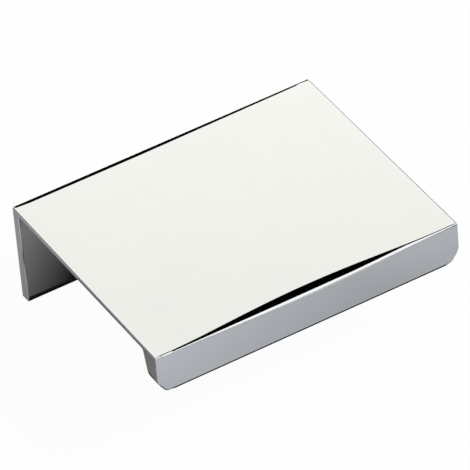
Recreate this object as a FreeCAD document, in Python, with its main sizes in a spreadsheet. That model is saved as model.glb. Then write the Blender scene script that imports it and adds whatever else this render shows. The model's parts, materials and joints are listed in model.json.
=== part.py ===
import FreeCAD, Part
import math
import os
import Sketcher

# Tab pull: a one-piece polished casting that hooks over the edge of a door or drawer front.
# A thin plate lies on the door edge, a thin leg behind it is screwed to the back of the door,
# and a thicker lip in front is what the fingers pull on.
#
# Frame: millimetres, +X along the pull, -Y towards the user, +Z up. The origin is the middle
# of the screw line, on the face of the leg that seats against the back of the door.

NODE = "tab_pull"

# Driving dimensions: alias, value and what it measures.
SIZES = [
    ("pull_length", "50", "length along the door edge"),
    ("pull_depth", "40.6", "overall depth, front of the lip to back of the leg"),
    ("plate_thickness", "0.9", "thickness of the top plate"),
    ("leg_height", "17", "top of the plate to the foot of the leg"),
    ("leg_thickness", "1.8", "thickness of the back leg"),
    ("lip_height", "6.7", "top of the plate to the foot of the lip"),
    ("lip_foot", "2.45", "thickness of the lip at its foot"),
    ("lip_draft", "13", "lean of the lip's back face, degrees from upright"),
    ("inner_radius", "0.4", "corners under the plate"),
    ("front_roll_middle", "1.4", "radius of the front edge in the middle, where it is softest"),
    ("front_roll_end", "0.4", "the same at the pull's ends"),
    ("front_roll_share", "0.45", "share of that change made halfway from an end to the middle"),
    ("front_roll_spare", "1.0", "reach of the cutting shape past the pull's faces"),
    ("back_crown_width", "1.0", "polished roll-off of the plate towards the leg"),
    ("back_crown_radius", "6", "curvature of that roll-off"),
    ("back_edge_radius", "0.35", "rounding between the roll-off and the leg's back"),
    ("corner_cut_width", "1.3", "cut at the lip's lower corners, along the pull"),
    ("corner_cut_height", "1.85", "the same cut, up the end of the lip"),
    ("corner_side_blend", "2.5", "rounding where the cut leaves the end face"),
    ("corner_foot_blend", "0.8", "rounding where the cut meets the lip's foot"),
    ("edge_radius", "0.25", "softening of every other edge"),
    ("screw_spacing", "32", "screw hole to screw hole"),
    ("screw_drop", "9.5", "top of the plate to the screw line"),
    ("screw_hole", "4.2", "diameter of a screw hole"),
    ("screw_head", "6.8", "diameter of its countersink at the leg's back face"),
    ("screw_head_angle", "90", "included angle of the countersink, degrees"),
]

ORIGIN_POINT = (-1, 1)
ACROSS_AXIS, UPRIGHT_AXIS = range(-1, -3, -1)
START, END, CENTRE = range(1, 4)


def write_sizes(document):
    """Fill the spreadsheet and return it with its numbers."""
    sheet = document.addObject("Spreadsheet::Sheet", "sizes")
    for row, (alias, value, meaning) in enumerate(SIZES, start=1):
        sheet.set(f"A{row}", meaning)
        sheet.set(f"B{row}", value)
        sheet.setAlias(f"B{row}", alias)
    document.recompute()
    return {alias: float(sheet.get(alias)) for alias, _, _ in SIZES}


def origin_plane(body, role):
    return next(plane for plane in body.Origin.OriginFeatures if plane.Role == role)


def new_sketch(body, name, role, offsets=None):
    """A sketch on one of the body's own planes, shifted by expressions for its x, y and z."""
    sketch = body.newObject("Sketcher::SketchObject", name)
    sketch.AttachmentSupport = [(origin_plane(body, role), "")]
    sketch.MapMode = "FlatFace"
    for axis, expression in (offsets or {}).items():
        sketch.setExpression(f"AttachmentOffset.Base.{axis}", expression)
    return sketch


def point(across, up):
    return FreeCAD.Vector(across, up, 0)


def line(sketch, start, end):
    return sketch.addGeometry(Part.LineSegment(point(*start), point(*end)), False)


def arc(sketch, centre, radius, start_degrees, end_degrees):
    circle = Part.Circle(point(*centre), FreeCAD.Vector(0, 0, 1), radius)
    angles = (math.radians(start_degrees), math.radians(end_degrees))
    return sketch.addGeometry(Part.ArcOfCircle(circle, *angles), False)


def tie(sketch, kind, *items):
    sketch.addConstraint(Sketcher.Constraint(kind, *items))


def drive(sketch, name, kind, *items, value, expression):
    """A named dimension that follows the spreadsheet."""
    number = sketch.addConstraint(Sketcher.Constraint(kind, *items, value))
    sketch.renameConstraint(number, name)
    sketch.setExpression(f"Constraints.{name}", expression)


def crown_join(width, crown_radius, edge_radius):
    """Where the edge rounding meets the roll-off: the turn so far, and how far down it starts."""
    across = width - edge_radius
    between_centres = crown_radius - edge_radius
    turn = math.asin(across / between_centres)
    drop = crown_radius - between_centres * math.cos(turn)
    return math.degrees(turn), drop


def draw_section(body, size):
    """The constant section: leg, plate and lip, seen along the pull."""
    top = size["screw_drop"]
    back = size["leg_thickness"]
    front = back - size["pull_depth"]
    leg_low = top - size["leg_height"]
    lip_low = top - size["lip_height"]
    under = top - size["plate_thickness"]
    inner = size["inner_radius"]
    draft = math.radians(size["lip_draft"])
    back_width, back_crown, back_edge = (size[f"back_{part}"] for part in
                                         ("crown_width", "crown_radius", "edge_radius"))
    back_turn, back_drop = crown_join(back_width, back_crown, back_edge)

    lip_back_low = (front + size["lip_foot"], lip_low)
    lean = (under - inner + inner * math.sin(draft) - lip_low) / math.cos(draft)
    lip_back_top = (lip_back_low[0] + lean * math.sin(draft), lip_low + lean * math.cos(draft))
    lip_corner = (lip_back_top[0] + inner * math.cos(draft), under - inner)

    sketch = new_sketch(body, "section", "YZ_Plane")
    top_line = line(sketch, (back - back_width, top), (front, top))
    front_line = line(sketch, (front, top), (front, lip_low))
    lip_foot_line = line(sketch, (front, lip_low), lip_back_low)
    lip_back_line = line(sketch, lip_back_low, lip_back_top)
    lip_corner_arc = arc(sketch, lip_corner, inner, 90, 180 - size["lip_draft"])
    under_line = line(sketch, (lip_corner[0], under), (-inner, under))
    leg_corner_arc = arc(sketch, (-inner, under - inner), inner, 0, 90)
    seat_line = line(sketch, (0, under - inner), (0, leg_low))
    leg_foot_line = line(sketch, (0, leg_low), (back, leg_low))
    leg_back_line = line(sketch, (back, leg_low), (back, top - back_drop))
    back_edge_arc = arc(sketch, (back - back_edge, top - back_drop), back_edge, 0, 90 - back_turn)
    back_crown_arc = arc(sketch, (back - back_width, top - back_crown), back_crown, 90 - back_turn, 90)

    for kind, first, first_end, second, second_end in (
        ("Coincident", top_line, END, front_line, START),
        ("Coincident", front_line, END, lip_foot_line, START),
        ("Coincident", lip_foot_line, END, lip_back_line, START),
        ("Tangent", lip_back_line, END, lip_corner_arc, END),
        ("Tangent", lip_corner_arc, START, under_line, START),
        ("Tangent", under_line, END, leg_corner_arc, END),
        ("Tangent", leg_corner_arc, START, seat_line, START),
        ("Coincident", seat_line, END, leg_foot_line, START),
        ("Coincident", leg_foot_line, END, leg_back_line, START),
        ("Tangent", leg_back_line, END, back_edge_arc, START),
        ("Tangent", back_edge_arc, END, back_crown_arc, START),
        ("Tangent", back_crown_arc, END, top_line, START),
    ):
        tie(sketch, kind, first, first_end, second, second_end)
    for level in (top_line, lip_foot_line, under_line, leg_foot_line):
        tie(sketch, "Horizontal", level)
    for upright in (front_line, seat_line, leg_back_line):
        tie(sketch, "Vertical", upright)
    tie(sketch, "PointOnObject", seat_line, END, UPRIGHT_AXIS)
    tie(sketch, "Equal", lip_corner_arc, leg_corner_arc)

    for name, kind, items in (
        ("screw_drop", "DistanceY", (*ORIGIN_POINT, top_line, START)),
        ("leg_height", "DistanceY", (leg_foot_line, END, top_line, START)),
        ("lip_height", "DistanceY", (lip_foot_line, START, top_line, END)),
        ("plate_thickness", "DistanceY", (under_line, START, top_line, END)),
        ("leg_thickness", "DistanceX", (leg_foot_line, START, leg_foot_line, END)),
        ("pull_depth", "DistanceX", (front_line, END, leg_back_line, START)),
        ("lip_foot", "DistanceX", (lip_foot_line, START, lip_foot_line, END)),
        ("back_crown_width", "DistanceX", (back_crown_arc, END, leg_back_line, END)),
        ("back_crown_radius", "Radius", (back_crown_arc,)),
        ("back_edge_radius", "Radius", (back_edge_arc,)),
        ("inner_radius", "Radius", (leg_corner_arc,)),
    ):
        drive(sketch, name, kind, *items, value=size[name], expression=f"sizes.{name}")
    drive(sketch, "lip_lean", "Angle", lip_back_line, value=math.pi / 2 - draft,
          expression="(90 - sizes.lip_draft) * 1 deg")
    return sketch


def draw_front_roll(body, size, place, along, radius_expression):
    """The waste over the front edge at one place along the pull; its origin is the sharp edge."""
    radius = size["front_roll_middle"]
    spare = size["front_roll_spare"]
    sketch = new_sketch(body, f"front_roll_{place}", "YZ_Plane", {
        "x": "sizes.leg_thickness - sizes.pull_depth",
        "y": "sizes.screw_drop",
        "z": along,
    })
    roll_arc = arc(sketch, (radius, -radius), radius, 90, 180)
    top_wall = line(sketch, (radius, 0), (radius, spare))
    high_line = line(sketch, (radius, spare), (-spare, spare))
    front_wall = line(sketch, (-spare, spare), (-spare, -radius))
    low_line = line(sketch, (-spare, -radius), (0, -radius))
    for kind, first, first_end, second, second_end in (
        ("Coincident", roll_arc, START, top_wall, START),
        ("Coincident", top_wall, END, high_line, START),
        ("Coincident", high_line, END, front_wall, START),
        ("Coincident", front_wall, END, low_line, START),
        ("Coincident", low_line, END, roll_arc, END),
    ):
        tie(sketch, kind, first, first_end, second, second_end)
    for level in (high_line, low_line):
        tie(sketch, "Horizontal", level)
    for upright in (top_wall, front_wall):
        tie(sketch, "Vertical", upright)
    tie(sketch, "PointOnObject", roll_arc, START, ACROSS_AXIS)
    tie(sketch, "PointOnObject", roll_arc, END, UPRIGHT_AXIS)
    tie(sketch, "Vertical", roll_arc, START, roll_arc, CENTRE)
    tie(sketch, "Horizontal", roll_arc, END, roll_arc, CENTRE)
    drive(sketch, "radius", "Radius", roll_arc, value=radius, expression=radius_expression)
    drive(sketch, "spare_up", "DistanceY", top_wall, START, top_wall, END, value=spare,
          expression="sizes.front_roll_spare")
    drive(sketch, "spare_out", "DistanceX", front_wall, START, *ORIGIN_POINT, value=spare,
          expression="sizes.front_roll_spare")
    return sketch


def draw_corner_cut(body, size):
    """The waste at one lower corner of the lip, seen from the front; its origin is that corner."""
    width = size["corner_cut_width"]
    height = size["corner_cut_height"]
    side_blend = size["corner_side_blend"]
    foot_blend = size["corner_foot_blend"]
    lean = math.atan2(width, height)
    lean_degrees = math.degrees(lean)
    side_reach = side_blend * math.tan(lean / 2)
    foot_reach = foot_blend * math.tan((math.pi / 2 - lean) / 2)
    cut_high = (-side_reach * math.sin(lean), height - side_reach * math.cos(lean))
    cut_low = (-width + foot_reach * math.sin(lean), foot_reach * math.cos(lean))

    sketch = new_sketch(body, "lip_corner", "XZ_Plane", {
        "x": "sizes.pull_length / 2",
        "y": "sizes.screw_drop - sizes.lip_height",
        "z": "(sizes.pull_depth - sizes.leg_thickness) / 2",
    })
    side_line = line(sketch, (0, 0), (0, height + side_reach))
    side_arc = arc(sketch, (-side_blend, height + side_reach), side_blend, -lean_degrees, 0)
    cut_line = line(sketch, cut_high, cut_low)
    foot_arc = arc(sketch, (-width - foot_reach, foot_blend), foot_blend, -90, -lean_degrees)
    foot_line = line(sketch, (-width - foot_reach, 0), (0, 0))
    high_point = sketch.addGeometry(Part.Point(point(0, height)), True)
    low_point = sketch.addGeometry(Part.Point(point(-width, 0)), True)

    tie(sketch, "Coincident", side_line, START, foot_line, END)
    tie(sketch, "Coincident", side_line, START, *ORIGIN_POINT)
    tie(sketch, "Tangent", side_line, END, side_arc, END)
    tie(sketch, "Tangent", side_arc, START, cut_line, START)
    tie(sketch, "Tangent", cut_line, END, foot_arc, END)
    tie(sketch, "Tangent", foot_arc, START, foot_line, START)
    tie(sketch, "Vertical", side_line)
    tie(sketch, "Horizontal", foot_line)
    for corner, axis in ((high_point, UPRIGHT_AXIS), (low_point, ACROSS_AXIS)):
        tie(sketch, "PointOnObject", corner, START, axis)
        tie(sketch, "PointOnObject", corner, START, cut_line)
    for name, kind, items in (
        ("corner_cut_width", "DistanceX", (low_point, START, *ORIGIN_POINT)),
        ("corner_cut_height", "DistanceY", (*ORIGIN_POINT, high_point, START)),
        ("corner_side_blend", "Radius", (side_arc,)),
        ("corner_foot_blend", "Radius", (foot_arc,)),
    ):
        drive(sketch, name, kind, *items, value=size[name], expression=f"sizes.{name}")
    return sketch


def draw_screw_holes(body, size):
    """Two hole centres on the back face of the leg, either side of the middle."""
    radius = size["screw_hole"] / 2
    half_spacing = size["screw_spacing"] / 2
    sketch = new_sketch(body, "screw_line", "XZ_Plane", {"z": "-sizes.leg_thickness"})
    holes = []
    for across in (-half_spacing, half_spacing):
        circle = Part.Circle(point(across, 0), FreeCAD.Vector(0, 0, 1), radius)
        holes.append(sketch.addGeometry(circle, False))
    left, right = holes
    tie(sketch, "Equal", left, right)
    tie(sketch, "Symmetric", left, CENTRE, right, CENTRE, *ORIGIN_POINT)
    tie(sketch, "PointOnObject", right, CENTRE, ACROSS_AXIS)
    drive(sketch, "screw_hole", "Diameter", right, value=size["screw_hole"], expression="sizes.screw_hole")
    drive(sketch, "screw_spacing", "DistanceX", left, CENTRE, right, CENTRE,
          value=size["screw_spacing"], expression="sizes.screw_spacing")
    return sketch


def volume_after(document, body):
    document.recompute()
    return body.Shape.Volume


def build_pull(document, size):
    body = document.addObject("PartDesign::Body", NODE)
    body.Label = NODE

    pad = body.newObject("PartDesign::Pad", "channel")
    pad.Profile = draw_section(body, size)
    pad.SideType = "Symmetric"
    pad.setExpression("Length", "sizes.pull_length")
    whole = volume_after(document, body)

    end_radius = "sizes.front_roll_end"
    middle_radius = "sizes.front_roll_middle"
    quarter_radius = f"{end_radius} + sizes.front_roll_share * ({middle_radius} - {end_radius})"
    past_end = "sizes.pull_length / 2 + sizes.front_roll_spare"
    stations = [draw_front_roll(body, size, *station) for station in (
        ("left_end", f"-({past_end})", end_radius),
        ("left_quarter", "-sizes.pull_length / 4", quarter_radius),
        ("middle", "0", middle_radius),
        ("right_quarter", "sizes.pull_length / 4", quarter_radius),
        ("right_end", past_end, end_radius),
    )]
    roll = body.newObject("PartDesign::SubtractiveLoft", "front_roll")
    roll.Profile = stations[0]
    roll.Sections = stations[1:]
    rolled = volume_after(document, body)

    pocket = body.newObject("PartDesign::Pocket", "lip_corner_cut")
    pocket.Profile = draw_corner_cut(body, size)
    pocket.Type = "ThroughAll"
    pocket.Reversed = True
    one_cut = volume_after(document, body)

    both_corners = body.newObject("PartDesign::Mirrored", "lip_corner_cuts")
    both_corners.Originals = [pocket]
    both_corners.MirrorPlane = (origin_plane(body, "YZ_Plane"), [""])
    body.Tip = both_corners
    both_cut = volume_after(document, body)

    soft_edges = body.newObject("PartDesign::Fillet", "soft_edges")
    soft_edges.Base = (both_corners, [""])
    soft_edges.UseAllEdges = True
    soft_edges.setExpression("Radius", "sizes.edge_radius")
    softened = volume_after(document, body)

    holes = body.newObject("PartDesign::Hole", "screw_holes")
    holes.Profile = draw_screw_holes(body, size)
    document.recompute()
    holes.ThreadType = "None"
    holes.HoleCutType = "Countersink"
    holes.HoleCutCustomValues = True
    holes.DepthType = "Dimension"
    holes.DrillPoint = "Flat"
    holes.Reversed = True
    holes.setExpression("Diameter", "sizes.screw_hole")
    holes.setExpression("HoleCutDiameter", "sizes.screw_head")
    holes.setExpression("HoleCutCountersinkAngle", "sizes.screw_head_angle")
    holes.setExpression("Depth", "2 * sizes.leg_thickness")
    drilled = volume_after(document, body)

    volumes = [whole, rolled, one_cut, both_cut, softened, drilled]
    print("volumes, mm3:", [round(volume, 2) for volume in volumes])
    if volumes != sorted(set(volumes), reverse=True):
        raise RuntimeError("a cut removed nothing")
    return body


def check(document, body):
    for item in document.Objects:
        if {"Invalid", "Error"} & set(item.State):
            raise RuntimeError(f"{item.Name} failed: {item.State}")
    for sketch in document.findObjects("Sketcher::SketchObject"):
        if not sketch.FullyConstrained:
            raise RuntimeError(f"{sketch.Name} isn't fully constrained")
    shape = body.Shape
    if shape.isNull() or not shape.isValid() or len(shape.Solids) != 1:
        raise RuntimeError(f"{body.Label} isn't one valid solid")


def main():
    document = FreeCAD.newDocument("pull")
    size = write_sizes(document)
    body = build_pull(document, size)
    check(document, body)
    os.makedirs("parts", exist_ok=True)
    body.Shape.exportStep(f"parts/{body.Label}.step")


main()
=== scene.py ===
import json
import math

import bmesh
import bpy
from mathutils import Matrix, Vector


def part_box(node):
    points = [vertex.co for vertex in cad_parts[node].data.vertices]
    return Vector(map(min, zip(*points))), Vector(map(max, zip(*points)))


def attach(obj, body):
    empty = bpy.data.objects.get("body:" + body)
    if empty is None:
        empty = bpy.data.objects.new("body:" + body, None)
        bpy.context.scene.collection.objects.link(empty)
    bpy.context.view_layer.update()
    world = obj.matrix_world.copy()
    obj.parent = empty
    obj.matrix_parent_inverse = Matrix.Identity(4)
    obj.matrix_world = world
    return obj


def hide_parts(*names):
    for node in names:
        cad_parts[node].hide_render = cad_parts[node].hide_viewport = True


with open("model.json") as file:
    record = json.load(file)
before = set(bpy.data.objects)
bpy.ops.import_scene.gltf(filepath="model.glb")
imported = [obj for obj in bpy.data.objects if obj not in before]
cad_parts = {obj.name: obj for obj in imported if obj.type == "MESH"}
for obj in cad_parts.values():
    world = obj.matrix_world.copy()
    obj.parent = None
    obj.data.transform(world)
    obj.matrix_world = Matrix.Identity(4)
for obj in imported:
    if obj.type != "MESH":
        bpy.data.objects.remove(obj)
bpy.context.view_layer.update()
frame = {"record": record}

# A mirror-polished tab pull on a white studio table, in the part's frame. The pull is drawn in
# millimetres and scaled to metres once. The camera, the lamp and the cards are placed in metres,
# but the sheets of painted table shade that lie on the table in millimetres.

NODE = "tab_pull"
MM = 0.001

# Shape, in millimetres and degrees. The outer box and the screw holes' spacing and bore come from
# the frame.
PLATE_THICKNESS = 0.9
LEG_THICKNESS = 1.8
LIP_HEIGHT = 6.7
LIP_FOOT = 2.45
LIP_DRAFT = 13
INNER_RADIUS = 0.4
FRONT_ROLL_MIDDLE = 1.4
FRONT_ROLL_END = 0.4
FRONT_ROLL_SHARE = 0.45
FRONT_ROLL_SPARE = 1.0
BACK_CROWN_WIDTH = 1.0
BACK_CROWN_RADIUS = 6
BACK_EDGE_RADIUS = 0.35
CORNER_CUT_WIDTH = 1.3
CORNER_CUT_HEIGHT = 1.85
CORNER_SIDE_BLEND = 2.5
CORNER_FOOT_BLEND = 0.8
EDGE_RADIUS = 0.25
SCREW_HEAD_RADIUS = 3.4
RIM_RADIUS = 0.08
CUTTER_SPARE = 0.5

# How finely round forms are cut up, and the angle from which an edge counts as sharp. The last
# step at each end is END_STRETCH millimetres long, so that the lip's cut corners fit in it.
STATIONS = 96
END_STRETCH = 2.5
ROLL_STEPS = 40
CROWN_STEPS = 32
CORNER_STEPS = 14
EDGE_STEPS = 6
RIM_STEPS = 3
HOLE_STEPS = 72
HOOP_STEPS = 48
SHARP_ANGLE = math.radians(30)

# Polished chrome: its tones and roughness, and how often its patterns repeat in a metre. The
# swell's depth is in metres.
CHROME_DEEP = (0.535, 0.543, 0.545, 1)
CHROME_LIGHT = (0.565, 0.571, 0.568, 1)
ROUGHNESS_LOW = 0.01
ROUGHNESS_HIGH = 0.03
HAZE_SCALE = 160.0
BUFFING_SCALE = (60.0, 2600.0, 2600.0)
SWELL_SCALE = 90.0
SWELL_DEPTH = 0.000002

# Camera, in metres and degrees: it looks at AIM from this azimuth, elevation and distance. The
# lens and the sensor are in millimetres.
AIM = Vector((0.000995, -0.01651, 0.003848))
CAMERA_AZIMUTH = -28.010
CAMERA_ELEVATION = 40.131
CAMERA_ROLL = -4.957
CAMERA_DISTANCE = 0.8633
CAMERA_FAR = 100
CAMERA_LENS = 460.75
CAMERA_SENSOR = 36

# Colours and levels of the studio, where 1 is white. The bright cards are lighter than that.
WHITE = (1, 1, 1)
BLACK = (0, 0, 0)
WARM_WHITE = (1.0, 1.0, 0.945)
# Tint of the painted reflection of the table in front of the lip.
COOL_GREY = (0.895, 0.935, 1.0)
BRIGHT = 1.7
FLOOR_COLOUR = (0.72, 0.75, 0.80)
FLOOR_WHITE_TO_CAMERA = 0.97
FLOOR_WHITE_TO_POLISH = 0.03
SKY_LOW = 0.10
SKY_HIGH = 0.22

# Places in the studio, in metres and degrees. The key lamp's power is in watts, and the lift of
# the sheets of painted table shade in millimetres.
STUDIO_RADIUS = 2.0
FLOOR_REACH = 6
KEY_POWER = 44
KEY_SIZE = 0.55
KEY_AZIMUTH = 60
KEY_ELEVATION = 42
PAINTED_SHADE_LIFT = 0.05


def direction(azimuth, elevation):
    """Unit vector from the object; azimuth 0 is the front, towards -Y, and 90 is +X."""
    a = math.radians(azimuth)
    e = math.radians(elevation)
    return Vector((math.sin(a) * math.cos(e), -math.cos(a) * math.cos(e), math.sin(e)))


def facing(towards):
    """Rotation that turns local -Z along a vector, with local Y as near up as it can be."""
    return towards.to_track_quat("-Z", "Y").to_matrix().to_4x4()


def arc_points(centre, radius, start, end, steps):
    """Points along an arc, both ends included; degrees run from the first axis to the second."""
    points = []
    for step in range(steps + 1):
        angle = math.radians(start + (end - start) * step / steps)
        points.append((centre[0] + radius * math.cos(angle), centre[1] + radius * math.sin(angle)))
    return points


def back_roll_points(back, top):
    """The roll-off from the plate's flat top down to the back of the leg."""
    between_centres = BACK_CROWN_RADIUS - BACK_EDGE_RADIUS
    turn = math.degrees(math.asin((BACK_CROWN_WIDTH - BACK_EDGE_RADIUS) / between_centres))
    drop = BACK_CROWN_RADIUS - between_centres * math.cos(math.radians(turn))
    crown_centre = (back - BACK_CROWN_WIDTH, top - BACK_CROWN_RADIUS)
    edge_centre = (back - BACK_EDGE_RADIUS, top - drop)
    crown = arc_points(crown_centre, BACK_CROWN_RADIUS, 90, 90 - turn, CROWN_STEPS)
    edge = arc_points(edge_centre, BACK_EDGE_RADIUS, 90 - turn, 0, CORNER_STEPS)
    return crown + edge[1:]


def front_roll_radius(along, half_length):
    """Radius of the front edge: even about the middle, set there, at the quarters and past the ends."""
    here = along ** 2
    quarter = (half_length / 2) ** 2
    end = (half_length + FRONT_ROLL_SPARE) ** 2
    quarter_radius = FRONT_ROLL_END + FRONT_ROLL_SHARE * (FRONT_ROLL_MIDDLE - FRONT_ROLL_END)
    middle_part = FRONT_ROLL_MIDDLE * (here - quarter) * (here - end) / (quarter * end)
    quarter_part = quarter_radius * here * (here - end) / (quarter * (quarter - end))
    end_part = FRONT_ROLL_END * here * (here - quarter) / (end * (end - quarter))
    return middle_part + quarter_part + end_part


def lip_end_points():
    """(inset, height) down one end of the lip: upright side, blend, slanting cut, blend, foot."""
    lean = math.degrees(math.atan2(CORNER_CUT_WIDTH, CORNER_CUT_HEIGHT))
    side_reach = CORNER_SIDE_BLEND * math.tan(math.radians(lean / 2))
    foot_reach = CORNER_FOOT_BLEND * math.tan(math.radians((90 - lean) / 2))
    side_centre = (-CORNER_SIDE_BLEND, CORNER_CUT_HEIGHT + side_reach)
    foot_centre = (-CORNER_CUT_WIDTH - foot_reach, CORNER_FOOT_BLEND)
    points = arc_points(side_centre, CORNER_SIDE_BLEND, 0, -lean, CORNER_STEPS)
    points += arc_points(foot_centre, CORNER_FOOT_BLEND, -lean, -90, CORNER_STEPS)
    return [(-across, up) for across, up in points]


def section_points(low, high, along):
    """The outline at one place along X as (y, z, inset of the end), and the places in that list
    where the lip's front starts and its back ends."""
    top = high.z
    front = low.y
    back = high.y
    under = top - PLATE_THICKNESS
    lip_low = top - LIP_HEIGHT
    seat = back - LEG_THICKNESS
    draft = math.radians(LIP_DRAFT)
    slope = math.tan(draft)
    ends = lip_end_points()

    corner_z = under - INNER_RADIUS
    draft_high = corner_z + INNER_RADIUS * math.sin(draft)
    lip_back_high = front + LIP_FOOT + (draft_high - lip_low) * slope
    lip_corner = (lip_back_high + INNER_RADIUS * math.cos(draft), corner_z)
    leg_corner = (seat - INNER_RADIUS, corner_z)

    radius = front_roll_radius(along, high.x)
    front_roll = arc_points((front + radius, top - radius), radius, 90, 180, ROLL_STEPS)
    back_roll = back_roll_points(back, top)
    inner = arc_points(lip_corner, INNER_RADIUS, 180 - LIP_DRAFT, 90, CORNER_STEPS)
    inner += arc_points(leg_corner, INNER_RADIUS, 90, 0, CORNER_STEPS)

    points = [(y, z, 0) for y, z in front_roll]
    lip_front = len(points)
    points += [(front, lip_low + height, inset) for inset, height in ends]
    points += [(front + LIP_FOOT + height * slope, lip_low + height, inset)
               for inset, height in reversed(ends)]
    lip_back = len(points) - 1
    points += [(y, z, 0) for y, z in inner]
    points += [(seat, low.z, 0), (back, low.z, 0)]
    points += [(y, z, 0) for y, z in reversed(back_roll)]
    return points, lip_front, lip_back


def channel_mesh(low, high):
    """The pull before its edges are softened: its sections along X, with the lip's cut corners."""
    inner_reach = high.x - END_STRETCH
    inner_places = [inner_reach * (2 * step / STATIONS - 1) for step in range(STATIONS + 1)]
    mesh = bmesh.new()
    rings = []
    for along in [low.x] + inner_places + [high.x]:
        points, lip_front, lip_back = section_points(low, high, along)
        cut = math.copysign(1, along) if abs(along) == high.x else 0
        rings.append([mesh.verts.new((along - cut * inset, y, z)) for y, z, inset in points])
    count = len(points)
    for left, right in zip(rings, rings[1:]):
        for here in range(count):
            after = (here + 1) % count
            mesh.faces.new((left[here], left[after], right[after], right[here]))
    strips = (lip_back - lip_front) // 2
    for ring in (rings[0], rings[-1]):
        for step in range(strips):
            front_edge = (ring[lip_front + step], ring[lip_front + step + 1])
            back_edge = (ring[lip_back - step - 1], ring[lip_back - step])
            mesh.faces.new(front_edge + back_edge)
        mesh.faces.new(ring[:lip_front + 1] + ring[lip_back:])
    bmesh.ops.recalc_face_normals(mesh, faces=mesh.faces)
    return mesh


def screw_cutter(across, back, hole_radius):
    """The waste of one countersunk hole, which reaches past the leg on both sides."""
    seat = back - LEG_THICKNESS
    cone_end = back - (SCREW_HEAD_RADIUS - hole_radius)
    profile = [
        (hole_radius, seat - CUTTER_SPARE),
        (hole_radius, cone_end),
        (SCREW_HEAD_RADIUS + CUTTER_SPARE, back + CUTTER_SPARE),
    ]
    mesh = bmesh.new()
    rings = []
    for radius, y in profile:
        ring = []
        for step in range(HOLE_STEPS):
            angle = 2 * math.pi * step / HOLE_STEPS
            ring.append(mesh.verts.new((across + radius * math.cos(angle), y, radius * math.sin(angle))))
        rings.append(ring)
    for near, far in zip(rings, rings[1:]):
        for step in range(HOLE_STEPS):
            after = (step + 1) % HOLE_STEPS
            mesh.faces.new((near[step], near[after], far[after], far[step]))
    mesh.faces.new(rings[0])
    mesh.faces.new(rings[-1])
    bmesh.ops.recalc_face_normals(mesh, faces=mesh.faces)
    return mesh


def rectangle(x_range, y_range, z):
    """One flat face that looks up."""
    left, right = x_range
    front, back = y_range
    mesh = bmesh.new()
    corners = ((left, front), (right, front), (right, back), (left, back))
    mesh.faces.new([mesh.verts.new((x, y, z)) for x, y in corners])
    return mesh


def new_object(name, mesh):
    """An object in the scene from a working mesh, which is freed."""
    data = bpy.data.meshes.new(name)
    mesh.to_mesh(data)
    mesh.free()
    made = bpy.data.objects.new(name, data)
    bpy.context.scene.collection.objects.link(made)
    return made


def cut_holes(pull, cutters):
    """Take each cutter's shape out of the pull, and remove the cutters."""
    for number, cutter in enumerate(cutters):
        boolean = pull.modifiers.new(f"hole_{number}", "BOOLEAN")
        boolean.operation = "DIFFERENCE"
        boolean.solver = "EXACT"
        boolean.object = cutter
    shape = pull.evaluated_get(bpy.context.evaluated_depsgraph_get())
    cut = bpy.data.meshes.new_from_object(shape)
    pull.modifiers.clear()
    pull.data = cut
    for cutter in cutters:
        bpy.data.objects.remove(cutter)


def soften_edges(mesh, screw_places):
    """Round every sharp edge, the screw holes' rims less than the rest."""
    def on_a_rim(edge):
        middle = (edge.verts[0].co + edge.verts[1].co) / 2
        reach = SCREW_HEAD_RADIUS + RIM_RADIUS
        on_leg = middle.y > -RIM_RADIUS
        return on_leg and any(math.hypot(middle.x - across, middle.z) < reach for across in screw_places)

    for radius, steps, rims in ((EDGE_RADIUS, EDGE_STEPS, False), (RIM_RADIUS, RIM_STEPS, True)):
        sharp = [edge for edge in mesh.edges
                 if edge.calc_face_angle(0) > SHARP_ANGLE and on_a_rim(edge) == rims]
        bmesh.ops.bevel(mesh, geom=sharp, offset=radius, offset_type="OFFSET", segments=steps,
                        profile=0.5, affect="EDGES", clamp_overlap=False, loop_slide=False)


def hold_inside(mesh, low, high):
    """Keep the mesh inside the CAD box, past which a softened edge can bulge by under a micrometre."""
    for vert in mesh.verts:
        vert.co = [min(max(place, least), most) for place, least, most in zip(vert.co, low, high)]


def build_pull():
    """The polished pull, as fine as its reflections need, in the place of the CAD solid."""
    low, high = (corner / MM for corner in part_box(NODE))
    screws = next(mount for mount in frame["record"]["mounts"] if mount["name"] == "screw_holes")
    hole_radius = screws["dims"]["hole_r_mm"]
    half_spacing = screws["dims"]["spacing_x_mm"] / 2
    screw_places = (-half_spacing, half_spacing)
    pull = new_object("polished_pull", channel_mesh(low, high))
    cut_holes(pull, [new_object("hole", screw_cutter(across, high.y, hole_radius))
                     for across in screw_places])
    mesh = bmesh.new()
    mesh.from_mesh(pull.data)
    soften_edges(mesh, screw_places)
    hold_inside(mesh, low, high)
    bmesh.ops.scale(mesh, vec=(MM, MM, MM), verts=mesh.verts)
    for face in mesh.faces:
        face.smooth = True
    mesh.to_mesh(pull.data)
    mesh.free()
    shading = pull.modifiers.new("flat_faces_stay_flat", "WEIGHTED_NORMAL")
    shading.mode = "FACE_AREA"
    shading.keep_sharp = False
    return pull


def node(tree, kind, **inputs):
    """A shader node with its sockets set by name; underscores in a name stand for spaces."""
    made = tree.nodes.new(kind)
    for name, value in inputs.items():
        made.inputs[name.replace("_", " ")].default_value = value
    return made


def new_material(name):
    """A material without nodes, with its node tree and links at hand."""
    material = bpy.data.materials.new(name)
    material.use_nodes = True
    material.node_tree.nodes.clear()
    return material, material.node_tree, material.node_tree.links


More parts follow.
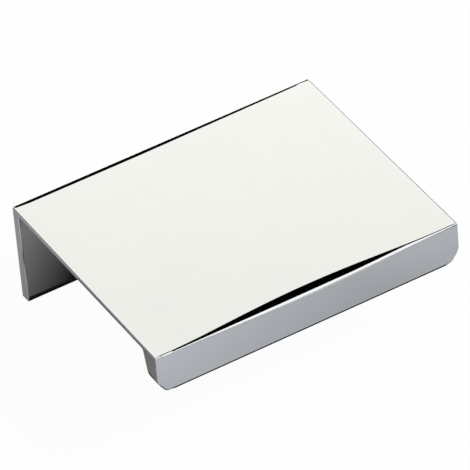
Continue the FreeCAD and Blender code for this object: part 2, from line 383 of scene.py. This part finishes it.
def polished_chrome():
    """Bright plating over a buffed casting: a slow swell, faint buffing lines and a little haze."""
    material, tree, links = new_material("polished_chrome")
    output = tree.nodes.new("ShaderNodeOutputMaterial")
    shader = node(tree, "ShaderNodeBsdfPrincipled", Metallic=1.0)
    links.new(shader.outputs["BSDF"], output.inputs["Surface"])
    place = tree.nodes.new("ShaderNodeTexCoord")

    haze = node(tree, "ShaderNodeTexNoise", Scale=HAZE_SCALE, Detail=4.0, Roughness=0.6)
    links.new(place.outputs["Object"], haze.inputs["Vector"])
    tone = tree.nodes.new("ShaderNodeMix")
    tone.data_type = "RGBA"
    tone.inputs["A"].default_value = CHROME_DEEP
    tone.inputs["B"].default_value = CHROME_LIGHT
    links.new(haze.outputs["Fac"], tone.inputs["Factor"])
    links.new(tone.outputs["Result"], shader.inputs["Base Color"])

    stretch = node(tree, "ShaderNodeMapping", Scale=BUFFING_SCALE)
    links.new(place.outputs["Object"], stretch.inputs["Vector"])
    lines = node(tree, "ShaderNodeTexNoise", Scale=1.0, Detail=2.0)
    links.new(stretch.outputs["Vector"], lines.inputs["Vector"])
    gloss = node(tree, "ShaderNodeMapRange", To_Min=ROUGHNESS_LOW, To_Max=ROUGHNESS_HIGH)
    links.new(lines.outputs["Fac"], gloss.inputs["Value"])
    links.new(gloss.outputs["Result"], shader.inputs["Roughness"])

    swell = node(tree, "ShaderNodeTexNoise", Scale=SWELL_SCALE, Detail=1.0)
    links.new(place.outputs["Object"], swell.inputs["Vector"])
    bump = node(tree, "ShaderNodeBump", Strength=0.5, Distance=SWELL_DEPTH)
    links.new(swell.outputs["Fac"], bump.inputs["Height"])
    links.new(bump.outputs["Normal"], shader.inputs["Normal"])
    return material


def glow(name, colour, strength):
    """A plain emitting surface; strength 0 makes a black flag."""
    material, tree, links = new_material(name)
    output = tree.nodes.new("ShaderNodeOutputMaterial")
    shader = node(tree, "ShaderNodeEmission", Color=(*colour, 1), Strength=strength)
    links.new(shader.outputs["Emission"], output.inputs["Surface"])
    return material


def graded_glow(name, colour, **ramps):
    """An emitting surface that changes evenly along its own X or Y. Each axis has a ramp, from one
    (place, level) to another, and the levels of two ramps add up."""
    material, tree, links = new_material(name)
    output = tree.nodes.new("ShaderNodeOutputMaterial")
    shader = node(tree, "ShaderNodeEmission", Color=(*colour, 1))
    links.new(shader.outputs["Emission"], output.inputs["Surface"])
    place = tree.nodes.new("ShaderNodeTexCoord")
    axes = tree.nodes.new("ShaderNodeSeparateXYZ")
    links.new(place.outputs["Object"], axes.inputs["Vector"])
    level = None
    for axis, ((start, first), (end, last)) in ramps.items():
        change = node(tree, "ShaderNodeMapRange",
                      From_Min=start, From_Max=end, To_Min=first, To_Max=last)
        links.new(axes.outputs[axis], change.inputs["Value"])
        if level:
            total = tree.nodes.new("ShaderNodeMath")
            total.use_clamp = True
            links.new(level, total.inputs[0])
            links.new(change.outputs["Result"], total.inputs[1])
            level = total.outputs["Value"]
        else:
            level = change.outputs["Result"]
    links.new(level, shader.inputs["Strength"])
    return material


def seen_share(tree, to_camera, to_polish):
    """How much of a white backdrop a ray gets: camera rays one share, mirrored and clear rays
    another, and all other rays none."""
    ray = tree.nodes.new("ShaderNodeLightPath")
    total = None
    for kind, share in (("Camera", to_camera), ("Glossy", to_polish), ("Transmission", to_polish)):
        add = tree.nodes.new("ShaderNodeMath")
        add.operation = "MULTIPLY_ADD"
        add.inputs[1].default_value = share
        add.inputs[2].default_value = 0
        tree.links.new(ray.outputs[f"Is {kind} Ray"], add.inputs[0])
        if total:
            tree.links.new(total, add.inputs[2])
        total = add.outputs["Value"]
    return total


def white_table():
    """A pale floor that reads as white to the camera and still keeps the shadow."""
    material, tree, links = new_material("white_table")
    output = tree.nodes.new("ShaderNodeOutputMaterial")
    matt = node(tree, "ShaderNodeBsdfDiffuse", Color=(*FLOOR_COLOUR, 1))
    white = node(tree, "ShaderNodeEmission", Color=(*WHITE, 1), Strength=1.0)
    mix = tree.nodes.new("ShaderNodeMixShader")
    links.new(seen_share(tree, FLOOR_WHITE_TO_CAMERA, FLOOR_WHITE_TO_POLISH), mix.inputs["Fac"])
    links.new(matt.outputs["BSDF"], mix.inputs[1])
    links.new(white.outputs["Emission"], mix.inputs[2])
    links.new(mix.outputs["Shader"], output.inputs["Surface"])
    return material


def build_floor():
    """A wide table at the height of the pull's lowest point."""
    low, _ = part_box(NODE)
    reach = (-FLOOR_REACH, FLOOR_REACH)
    floor = new_object("floor", rectangle(reach, reach, low.z))
    floor.data.materials.append(white_table())


def only_in_polish(made, material):
    """Give a piece of the studio its material, and hide it from all but the polish."""
    made.data.materials.append(material)
    made.visible_camera = False
    made.visible_diffuse = False
    made.visible_shadow = False


def card(name, material, azimuth, elevation, size, nearer=0.0, tilt=0):
    """A flat card that faces the object from the studio's radius, or from nearer, and shows only in
    its polish; tilt turns it in its own plane."""
    width, height = size
    made = new_object(name, rectangle((-width / 2, width / 2), (-height / 2, height / 2), 0))
    out = direction(azimuth, elevation)
    place = Matrix.Translation(AIM + out * (STUDIO_RADIUS - nearer))
    turned = Matrix.Rotation(math.radians(tilt), 4, "Z")
    made.matrix_world = place @ facing(-out) @ turned
    only_in_polish(made, material)


def painted_table_reflection(name, x_range, y_range, colour=WHITE, **ramps):
    """A glowing sheet on the table, in millimetres, that shows only in the polish: a painted reflection
    of the table's light and shade.
    """
    low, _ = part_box(NODE)
    x_sides = [x * MM for x in x_range]
    y_sides = [y * MM for y in y_range]
    in_metres = {axis: [(place * MM, level) for place, level in ramp] for axis, ramp in ramps.items()}
    made = new_object(name, rectangle(x_sides, y_sides, low.z + PAINTED_SHADE_LIFT * MM))
    only_in_polish(made, graded_glow(name, colour, **in_metres))


def hoop(name, material, radius, start, end, left, right):
    """A band bent round the front edge that shows only in the polish. Angles run up from the back;
    left and right are its edges along X, each given at the start and at the end."""
    low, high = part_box(NODE)
    mesh = bmesh.new()
    rows = []
    for step in range(HOOP_STEPS + 1):
        share = step / HOOP_STEPS
        angle = math.radians(start + (end - start) * share)
        y = low.y + radius * math.cos(angle)
        z = high.z + radius * math.sin(angle)
        sides = [first + (last - first) * share for first, last in (left, right)]
        rows.append([mesh.verts.new((x, y, z)) for x in sides])
    for row, after in zip(rows, rows[1:]):
        mesh.faces.new((row[0], row[1], after[1], after[0]))
    only_in_polish(new_object(name, mesh), material)


def build_sky():
    """Soft light from all round, brighter overhead; the camera and the polish see plain white."""
    world = bpy.data.worlds.new("sky")
    world.use_nodes = True
    tree = world.node_tree
    tree.nodes.clear()
    links = tree.links
    output = tree.nodes.new("ShaderNodeOutputWorld")
    place = tree.nodes.new("ShaderNodeTexCoord")
    axes = tree.nodes.new("ShaderNodeSeparateXYZ")
    links.new(place.outputs["Generated"], axes.inputs["Vector"])
    level = node(tree, "ShaderNodeMapRange", To_Min=SKY_LOW, To_Max=SKY_HIGH)
    links.new(axes.outputs["Z"], level.inputs["Value"])
    soft = node(tree, "ShaderNodeBackground", Color=(*WHITE, 1))
    links.new(level.outputs["Result"], soft.inputs["Strength"])
    white = node(tree, "ShaderNodeBackground", Color=(*WHITE, 1), Strength=1.0)
    mix = tree.nodes.new("ShaderNodeMixShader")
    links.new(seen_share(tree, 1, 1), mix.inputs["Fac"])
    links.new(soft.outputs["Background"], mix.inputs[1])
    links.new(white.outputs["Background"], mix.inputs[2])
    links.new(mix.outputs["Shader"], output.inputs["Surface"])
    bpy.context.scene.world = world


def build_key():
    """The main lamp, in front and to the right; its own shape stays out of the polish."""
    lamp = bpy.data.lights.new("key", "AREA")
    lamp.energy = KEY_POWER
    lamp.size = KEY_SIZE
    made = bpy.data.objects.new("key", lamp)
    out = direction(KEY_AZIMUTH, KEY_ELEVATION)
    made.matrix_world = Matrix.Translation(AIM + out * STUDIO_RADIUS) @ facing(-out)
    made.visible_glossy = False
    bpy.context.scene.collection.objects.link(made)


def build_bright_cards(white):
    """Bright cards behind, overhead and in front, for the plate's top and the softened edges."""
    warm = graded_glow("warm_white", WARM_WHITE, Y=((0.18, 1.67), (0.29, 1.52)))
    ceiling = graded_glow("ceiling", WHITE, Y=((-1.0, 1.25), (1.0, 0.95)))
    front = graded_glow("front_card", WHITE, Y=((-0.6, 0.75), (0.6, 1.25)))
    card("softbox", warm, azimuth=149.5, elevation=33, size=(0.75, 0.82))
    card("left_card", white, azimuth=186, elevation=42, size=(1.3, 0.7))
    card("ceiling", ceiling, azimuth=30, elevation=78, size=(2.0, 2.4))
    card("front_card", front, azimuth=30, elevation=24, size=(2.4, 1.5))


def build_bands(white, black):
    """Bands round the front edge: a white one for its light line, and black ones for its dark wedge
    and for the thin dark lines at the right end."""
    front_start = 98
    front_left = (0.45, 0.45)
    hoop("front_band", white, radius=1.7, start=front_start, end=171,
         left=front_left, right=(0.95, 0.95))
    hoop("back_band", black, radius=1.8, start=48.5, end=front_start,
         left=front_left, right=(1.0, 1.0))
    hoop("over_band", black, radius=0.15, start=60, end=140.5,
         left=(0.0335, 0.0335), right=(0.0812, 0.0603))
    hoop("corner_band", black, radius=0.15, start=154, end=183, left=(0.092, 0.066), right=(0.2, 0.2))


def build_painted_table_reflections():
    """Painted reflections of the table's light and shade, on glowing sheets that lie on it, for the
    faces
    that look down at it: to the left for the ends of leg, plate and lip, under the pull for the leg's
    inner face, and in front for the lip."""
    low, high = (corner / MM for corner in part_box(NODE))
    left_near = -33
    left_far = -36
    lip_side = -32
    leg_side = 0.5
    lip_end_ramp = ((-26, 0.27), (-8, 0.15))
    # Painted shade of the table to the left, where the plate's shadow falls, with lighter painted strips
    # just left of the leg and further out.
    painted_table_reflection("left_back_painted_shade", (left_far, low.x), (leg_side, 40), Y=((1, 0.31), (10, 0.41)))
    painted_table_reflection("left_edge_painted_light", (left_near, low.x), (-5, leg_side), X=((-31, 0.65), (-26, 0.40)))
    painted_table_reflection("left_front_painted_shade", (left_far, left_near), (lip_side, leg_side), Y=lip_end_ramp)
    painted_table_reflection("left_far_painted_light", (-46, left_far), (-12, 14), Y=((-12, 0.60), (0, 0.68)))
    painted_table_reflection("left_lip_painted_shade", (left_near, -30), (lip_side, -18), Y=lip_end_ramp)

    # Painted shadow under the pull: near black at the leg's foot, and dark grey under the plate, darkest
    # towards the leg.
    foot_front = -0.9
    under_middle = -17
    painted_table_reflection("leg_foot_painted_shadow", (low.x, high.x), (foot_front, high.y), Y=((foot_front, 0.02), (0, 0)))
    painted_table_reflection("under_back_painted_shadow", (low.x, high.x), (under_middle, foot_front),
               Y=((-14, 0.27), (0, 0)), X=((-24, 0.12), (-12, -0.10)))

    # Painted reflection of the table in front of the lip, lightest at the left and darkest near X 17,
    # and a painted shadow under the lip and just in front of it.
    before_lip = -47.5
    front_far = -200
    front_side = 160
    split = 17
    split_level = 0.689
    lip_front_ramp = ((-54.4, 0.032), (-50.4, -0.032))
    painted_table_reflection("front_left_painted_reflection", (-front_side, split), (front_far, before_lip), COOL_GREY,
               X=((-15, 0.838), (split, split_level)), Y=lip_front_ramp)
    painted_table_reflection("front_right_painted_reflection", (split, front_side), (front_far, before_lip), COOL_GREY,
               X=((split, split_level), (29, 0.779)), Y=lip_front_ramp)
    painted_table_reflection("under_front_painted_shadow", (-27, 27), (before_lip, under_middle),
               Y=((before_lip, 0.45), (-43, 0.05)))


def build_flags(black):
    """Black flags low behind the pull, for the dark lines along its edges."""
    card("low_flag", black, azimuth=165.0, elevation=18, size=(0.769, 1.114), nearer=0.3, tilt=-11)
    card("corner_flag", black, azimuth=151.5, elevation=15, size=(0.15, 0.74), nearer=0.3)
    card("right_low_flag", black, azimuth=131, elevation=15, size=(0.45, 1.0), nearer=0.1)
    card("left_low_flag", black, azimuth=222, elevation=9, size=(1.0, 0.7), nearer=0.1)


def build_cards():
    """All that the polish reflects besides the floor and the sky."""
    white = glow("plain_white", WHITE, BRIGHT)
    black = glow("black", BLACK, 0.0)
    build_bright_cards(white)
    build_bands(white, black)
    build_painted_table_reflections()
    build_flags(black)


def build_camera():
    """A long lens at the photo's angle."""
    lens = bpy.data.cameras.new("camera")
    lens.sensor_width = CAMERA_SENSOR
    lens.lens = CAMERA_LENS
    lens.clip_end = CAMERA_FAR
    made = bpy.data.objects.new("camera", lens)
    out = direction(CAMERA_AZIMUTH, CAMERA_ELEVATION)
    roll = Matrix.Rotation(math.radians(CAMERA_ROLL), 4, "Z")
    made.matrix_world = Matrix.Translation(AIM + out * CAMERA_DISTANCE) @ facing(-out) @ roll
    bpy.context.scene.collection.objects.link(made)
    bpy.context.scene.camera = made


def main():
    bpy.context.scene.view_settings.view_transform = "Standard"
    pull = build_pull()
    pull.data.materials.append(polished_chrome())
    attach(pull, "root")
    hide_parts(NODE)
    build_floor()
    build_sky()
    build_key()
    build_cards()
    build_camera()
    bpy.context.view_layer.update()


main()
